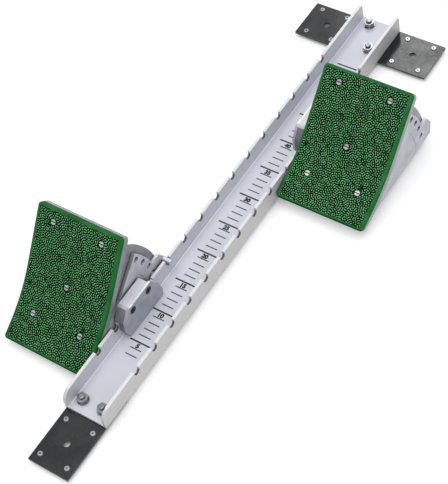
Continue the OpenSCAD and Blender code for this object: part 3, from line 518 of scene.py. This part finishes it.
arcCentre = (faceRadius * math.sin(lowerSlope), faceRadius * math.cos(lowerSlope))

dice = random.Random(padLook["seed"])
ripples = [
    (math.pi * (k + dice.random()) / padLook["ripples"],
     padLook["pebble"] * dice.uniform(*padLook["rippleSpread"]),
     2 * math.pi * dice.random())
    for k in range(padLook["ripples"])
]


def faceSpot(along):
    # height up the pad, stand-out of its face and slope, at a length along the face
    slope = -lowerSlope + min(along, arcLength) / faceRadius
    up = arcCentre[0] + faceRadius * math.sin(slope)
    out = arcCentre[1] - faceRadius * math.cos(slope)
    past = max(0.0, along - arcLength)
    return up + past * math.cos(upperSlope), out + past * math.sin(upperSlope), slope


def alongFace(up):
    bendEnd = arcCentre[0] + faceRadius * math.sin(upperSlope)
    if up > bendEnd:
        return arcLength + (up - bendEnd) / math.cos(upperSlope)
    return faceRadius * (lowerSlope + math.asin((up - arcCentre[0]) / faceRadius))


def pebbleHeight(x, y, look):
    # equal ripples crossing from many sides leave worm-like pebbles of one width
    total = 0.0
    for turn, pitch, phase in ripples:
        across = x * math.cos(turn) + y * math.sin(turn)
        total += math.cos(2 * math.pi * across / pitch + phase)
    lift = look["fill"] + total / (look["softness"] * math.sqrt(len(ripples)))
    lift = min(1.0, max(0.0, lift))
    return lift * lift * (3 - 2 * lift)


def roundCorners(sheet, half, middle, corner):
    # square corners are drawn in to round ones
    for vertex in sheet.data.vertices:
        fromX = abs(vertex.co.x) - (half[0] - corner)
        fromY = abs(vertex.co.y - middle) - (half[1] - corner)
        if fromX > 0 and fromY > 0:
            a = fromX / corner
            b = fromY / corner
            newX = half[0] - corner + corner * a * math.sqrt(1 - b * b / 2)
            newY = half[1] - corner + corner * b * math.sqrt(1 - a * a / 2)
            vertex.co.x = math.copysign(newX, vertex.co.x)
            vertex.co.y = middle + math.copysign(newY, vertex.co.y - middle)


def growBorder(half, middle, look):
    # the plain border, its rounded edge and its side wall, step by step from the outline
    outline = [(0.0, 0.0), (look["rim"], 0.0), (look["border"] - look["edge"], 0.0)]
    for degrees in look["edgeTurns"]:
        turn = math.radians(degrees)
        out = look["border"] - look["edge"] * (1 - math.sin(turn))
        outline.append((out, look["edge"] * (1 - math.cos(turn))))
    outline.append((look["border"], look["thickness"]))
    for (outNow, downNow), (outNext, downNext) in zip(outline, outline[1:]):
        down = downNext - downNow
        bpy.ops.mesh.extrude_edges_move(TRANSFORM_OT_translate={"value": (0, 0, -down)})
        factors = [(reach + outNext) / (reach + outNow) for reach in half]
        bpy.ops.transform.resize(value=(*factors, 1), center_override=(0, middle, 0))


def closeBack(half, middle, look):
    # one flat back, cut into narrow strips so that it can curve
    bpy.ops.mesh.edge_face_add()
    strips = int(2 * half[1] / look["backStrip"])
    for strip in range(1, strips):
        cut = middle - half[1] + strip * 2 * half[1] / strips
        bpy.ops.mesh.bisect(plane_co=(0, cut, 0), plane_no=(0, 1, 0))
    bpy.ops.mesh.select_all(action="SELECT")
    bpy.ops.mesh.normals_make_consistent(inside=False)


def raisePebbles(sheet, half, fieldHalf, middle, look):
    grain, field, lower = [
        sheet.data.attributes.new(name, "FLOAT", "POINT") for name in ("grain", "field", "lower")]
    inside = [reach - look["fieldInset"] * look["step"] for reach in fieldHalf]
    for vertex in sheet.data.vertices:
        x = vertex.co.x
        y = vertex.co.y - middle
        if abs(x) < inside[0] and abs(y) < inside[1] and vertex.co.z == 0:
            height = pebbleHeight(x, y, look)
            grain.data[vertex.index].value = height
            field.data[vertex.index].value = 1
            vertex.co.z = -look["height"] * (1 - height)
        if -y > half[1] - look["edge"] - look["shadedEnd"]:  # painted shade marks the lower end
            lower.data[vertex.index].value = 1


def makeFlatSheet(look):
    low = alongFace(look["inset"])
    high = alongFace(look["chord"] - look["inset"])
    middle = (low + high) / 2
    half = (look["width"] / 2 - look["inset"], (high - low) / 2)
    fieldHalf = (half[0] - look["border"], half[1] - look["border"])
    deselectAll()
    bpy.ops.mesh.primitive_grid_add(
        x_subdivisions=round(2 * fieldHalf[0] / look["step"]),
        y_subdivisions=round(2 * fieldHalf[1] / look["step"]), size=1, location=(0, 0, 0))
    sheet = nameActive("flat_rubber")
    for vertex in sheet.data.vertices:
        x, y = vertex.co.xy
        vertex.co = (2 * fieldHalf[0] * x, middle + 2 * fieldHalf[1] * y, 0)
    roundCorners(sheet, fieldHalf, middle, look["corner"])

    pickOnly(sheet)
    bpy.ops.object.mode_set(mode="EDIT")
    bpy.ops.mesh.select_all(action="SELECT")
    bpy.ops.mesh.region_to_loop()
    growBorder(fieldHalf, middle, look)
    closeBack(half, middle, look)
    bpy.ops.object.mode_set(mode="OBJECT")
    raisePebbles(sheet, half, fieldHalf, middle, look)
    return sheet


def makeRecessCutter(look):
    deselectAll()
    rise = look["cutterRise"]
    depth = look["recessDepth"] + rise
    bpy.ops.mesh.primitive_cylinder_add(
        vertices=look["recessSides"], radius=look["recess"], depth=depth,
        location=(0, 0, rise - depth / 2))
    cutter = nameActive("recess_cutter")
    bpy.ops.object.transform_apply(location=True, rotation=False, scale=False)
    bpy.ops.object.mode_set(mode="EDIT")
    bpy.ops.mesh.select_mode(type="FACE")
    bpy.ops.mesh.select_all(action="DESELECT")
    bpy.ops.object.mode_set(mode="OBJECT")
    for face in cutter.data.polygons:
        face.select = face.normal.z < -0.9  # the bottom, from which the screw's hole goes on
    bpy.ops.object.mode_set(mode="EDIT")
    bpy.ops.mesh.inset(thickness=look["recess"] - look["screwHole"])
    through = (0, 0, -look["thickness"])
    bpy.ops.mesh.extrude_region_move(TRANSFORM_OT_translate={"value": through})
    bpy.ops.object.mode_set(mode="OBJECT")
    return cutter


def cutRecesses(sheet, look):
    cutter = makeRecessCutter(look)
    spots = [(x, alongFace(up)) for x, up in look["screws"]]
    cutters = [copyPiece(cutter, "cutter", (x, y, 0)) for x, y in spots]
    allCutters = joinPieces(cutters, "recess_cutters")
    applyModifier(sheet, "BOOLEAN", object=allCutters, operation="DIFFERENCE", solver="EXACT")
    grain = sheet.data.attributes["grain"]
    field = sheet.data.attributes["field"]
    for vertex in sheet.data.vertices:  # painted shade: the walls round the screws take the dark valley colour
        for x, y in spots:
            away = math.hypot(vertex.co.x - x, vertex.co.y - y)
            if away < look["recess"] + look["recessWall"]:
                grain.data[vertex.index].value = 0
                field.data[vertex.index].value = 1
    for spare in (cutter, allCutters):
        bpy.data.objects.remove(spare)


def curveOntoPan(sheet, side, look):
    hinge = next(
        joint for joint in frame["joints"] if joint["name"] == side + "_pad_tilt")["pos_m"]
    angle = look["angle"][side]
    upAxis = Vector((0, math.cos(angle), math.sin(angle)))
    outAxis = Vector((0, -math.sin(angle), math.cos(angle)))
    corner = Vector(hinge) - look["hingeUp"] * upAxis + look["hingeBehind"] * outAxis
    piece = copyPiece(sheet, side + "_rubber_sheet")
    for vertex in piece.data.vertices:
        up, out, slope = faceSpot(vertex.co.y)
        out += vertex.co.z / math.cos(slope)
        vertex.co = corner + Vector((vertex.co.x, 0, 0)) + up * upAxis + out * outAxis
    pickOnly(piece)
    bpy.ops.object.shade_smooth_by_angle(angle=look["smooth"])
    setFinish(piece, finishes["green_rubber"])
    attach(piece, side + "_pad")
    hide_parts(side + "_rubber_pad")


flatSheet = makeFlatSheet(padLook)
cutRecesses(flatSheet, padLook)
for side in sides:
    curveOntoPan(flatSheet, side, padLook)
bpy.data.objects.remove(flatSheet)
print("rubber sheets made")


# latch springs: a wire coil in two halves, each squeezed by its own pin
springLook = {
    "wire": 1.0 * mm, "wireSides": 10, "radius": 3.3 * mm, "turns": 8, "steps": 18,
    "clear": 0.08 * mm, "smooth": math.radians(50),
}


def makeHalfCoil(length, look):
    deselectAll()
    bpy.ops.mesh.primitive_circle_add(
        vertices=look["wireSides"], radius=look["wire"] / 2,
        location=(0, 0, look["radius"]), rotation=(math.pi / 2, 0, 0))
    coil = nameActive("half_coil")
    bpy.ops.object.transform_apply(location=True, rotation=True, scale=True)
    applyModifier(coil, "SCREW", axis="X", steps=look["steps"], render_steps=look["steps"],
                  iterations=look["turns"], screw_offset=length / look["turns"])
    bpy.ops.object.mode_set(mode="EDIT")
    bpy.ops.mesh.select_all(action="SELECT")
    bpy.ops.mesh.remove_doubles(threshold=weld)
    bpy.ops.mesh.fill_holes(sides=look["wireSides"])
    bpy.ops.mesh.select_all(action="SELECT")
    bpy.ops.mesh.normals_make_consistent(inside=False)
    bpy.ops.object.mode_set(mode="OBJECT")
    bpy.ops.object.shade_smooth_by_angle(angle=look["smooth"])
    return coil


def makeLatchSpring(side, look):
    low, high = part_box(side + "_latch_spring")
    middle = (Vector(low) + Vector(high)) / 2
    for end in ("inner", "outer"):
        low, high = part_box(side + "_latch_" + end + "_pin")
        pinEnd = min((low[0], high[0]), key=lambda x: abs(x - middle.x))
        reach = abs(pinEnd - middle.x) - look["wire"] / 2 - look["clear"]
        coil = makeHalfCoil(reach, look)
        if pinEnd < middle.x:  # the other half carries the same thread on
            coil.data.transform(Matrix.Rotation(math.pi, 4, "Z"))
        coil.data.transform(Matrix.Translation(middle))
        coil.name = side + "_" + end + "_coil"
        setFinish(coil, finishes["spring_steel"])
        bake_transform(coil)
        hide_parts(side + "_latch_spring")


for side in sides:
    makeLatchSpring(side, springLook)
print("latch springs wound")


# printed scale on the rail floor: a line every centimetre, a long line and a number every five
scaleLook = {
    "zeroY": -249.5 * mm, "floorZ": 13 * mm, "inkBelow": 0.02 * mm, "inkAbove": 0.05 * mm,
    "shortHalf": 8.5 * mm, "longHalf": 15.2 * mm, "lineWidth": 1.5 * mm, "longWidth": 2.2 * mm,
    "spacing": 10 * mm, "firstLine": 3, "lastLine": 55, "longEvery": 5, "lastNumber": 50,
    "digitHeight": 8.4 * mm, "digitBold": 0.07, "digitDrop": 5.6 * mm, "digitCurve": 4,
}


def addLine(half, width, look):
    deselectAll()
    bpy.ops.mesh.primitive_cube_add(size=1, location=(0, 0, 0))
    line = nameActive("scale_line")
    line.scale = (2 * half, width, look["inkAbove"] + look["inkBelow"])
    middleZ = look["floorZ"] + (look["inkAbove"] - look["inkBelow"]) / 2
    line.location = (0, look["zeroY"], middleZ)
    bpy.ops.object.transform_apply(location=True, rotation=True, scale=True)
    return line


def addNumber(value, y, look):
    deselectAll()
    bpy.ops.object.text_add(location=(0, y, look["floorZ"] - look["inkBelow"]))
    number = bpy.context.object
    number.data.body = str(value)
    number.data.size = look["digitHeight"]
    number.data.align_x = "CENTER"
    number.data.align_y = "CENTER"
    number.data.resolution_u = look["digitCurve"]
    number.data.offset = look["digitBold"] * look["digitHeight"]
    pickOnly(number)
    bpy.ops.object.convert(target="MESH")
    number = bpy.context.object
    bpy.ops.object.transform_apply(location=True, rotation=True, scale=True)
    applyModifier(number, "SOLIDIFY", thickness=look["inkAbove"] + look["inkBelow"], offset=1)
    return number


def makeScale(look):
    shortLine = addLine(look["shortHalf"], look["lineWidth"], look)
    longLine = addLine(look["longHalf"], look["longWidth"], look)
    marks = []
    for line in range(look["firstLine"], look["lastLine"] + 1):
        isLong = line % look["longEvery"] == 0
        pattern = longLine if isLong else shortLine
        marks.append(copyPiece(pattern, "scale_mark", (0, line * look["spacing"], 0)))
        if isLong and line <= look["lastNumber"]:
            y = look["zeroY"] + line * look["spacing"] - look["digitDrop"]
            marks.append(addNumber(line, y, look))
    for spare in (shortLine, longLine):
        bpy.data.objects.remove(spare)
    scale = joinPieces(marks, "rail_scale")
    setFinish(scale, ink)
    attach(scale, "rail")


makeScale(scaleLook)
print("scale printed")


# floor, lamps and world
stageLook = {
    "floorSize": 12.0, "floorColor": (0.86, 0.86, 0.86, 1), "floorLift": 0.30,
    "floorRoughness": 0.9, "floorSpecular": 0.1,
    "underReach": 24 * mm, "underSpan": (0.12, 0.5), "underSamples": 8,
    "worldLevel": 0.50, "worldColor": (1.0, 1.0, 1.0, 1),
}
lampLooks = {
    "top": {"place": (0.0, -0.2, 2.3), "aim": (0, 0, 0), "size": (2.0, 2.0), "power": 26},
    "back": {"place": (-0.08, 1.60, 1.55), "aim": (-0.08, 0.1, 0), "size": (1.12, 0.8), "power": 2},
    "card": {"place": (-0.69, 1.58, 1.55), "aim": (0, 0.3, 0), "size": (0.26, 0.5), "power": 2.8},
    "fill": {"place": (1.5, -0.9, 1.2), "aim": (0, -0.1, 0.05), "size": (1.3, 1.3), "power": 6},
}


def seenRay(tree):
    # 1 for camera, glossy and transmission rays
    path = addNode(tree, "LightPath")
    seen = math2(tree, "MAXIMUM", path.outputs["Is Camera Ray"], path.outputs["Is Glossy Ray"])
    return math2(tree, "MAXIMUM", seen, path.outputs["Is Transmission Ray"])


def makeFloor(look):
    deselectAll()
    bpy.ops.mesh.primitive_plane_add(size=look["floorSize"], location=(0, 0, 0))
    floor = nameActive("floor")
    material, tree, shader = newMaterial("pale_floor")
    shader.inputs["Base Color"].default_value = look["floorColor"]
    shader.inputs["Roughness"].default_value = look["floorRoughness"]
    shader.inputs["Specular IOR Level"].default_value = look["floorSpecular"]
    shader.inputs["Emission Color"].default_value = (1, 1, 1, 1)
    lift = times(tree, seenRay(tree), look["floorLift"])
    under = openness(tree, look["underReach"], look["underSamples"])  # painted shade: less glow on the floor under and round the plates
    lift = times(tree, lift, spread(tree, under, *look["underSpan"]))
    tree.links.new(lift, shader.inputs["Emission Strength"])
    floor.data.materials.append(material)


def makeWorld(look):
    world = bpy.data.worlds.new("studio")
    bpy.context.scene.world = world
    world.use_nodes = True
    tree = world.node_tree
    background = tree.nodes["Background"]
    background.inputs["Color"].default_value = look["worldColor"]
    strength = spread(tree, seenRay(tree), 0, 1, look["worldLevel"], 1.0)
    tree.links.new(strength, background.inputs["Strength"])


def aimAt(place, target):
    return (Vector(target) - Vector(place)).to_track_quat("-Z", "Y")


def addLamp(name, look):
    data = bpy.data.lights.new(name + "_lamp", "AREA")
    data.shape = "RECTANGLE"
    data.size, data.size_y = look["size"]
    data.energy = look["power"]
    lamp = bpy.data.objects.new(name + "_lamp", data)
    bpy.context.collection.objects.link(lamp)
    lamp.location = look["place"]
    lamp.rotation_euler = aimAt(look["place"], look["aim"]).to_euler()


makeFloor(stageLook)
makeWorld(stageLook)
for lampName, look in lampLooks.items():
    addLamp(lampName, look)


# camera at the photograph's angle, a long way off and rolled to one side
cameraLook = {
    "place": (0.786326, -0.783760, 1.462308), "aim": (0.002567, -0.018128, 0.0),
    "roll": math.radians(-15.263), "lens": 105.81, "sensor": 36.0, "clipEnd": 30,
}


def addCamera(look):
    data = bpy.data.cameras.new("camera")
    data.lens = look["lens"]
    data.sensor_width = look["sensor"]
    data.clip_end = look["clipEnd"]
    camera = bpy.data.objects.new("camera", data)
    bpy.context.collection.objects.link(camera)
    camera.location = look["place"]
    turn = aimAt(look["place"], look["aim"]) @ Quaternion((0, 0, 1), look["roll"])
    camera.rotation_euler = turn.to_euler()
    bpy.context.scene.camera = camera


addCamera(cameraLook)
bpy.context.scene.view_settings.view_transform = "Standard"
print("stage, lamps and camera placed")
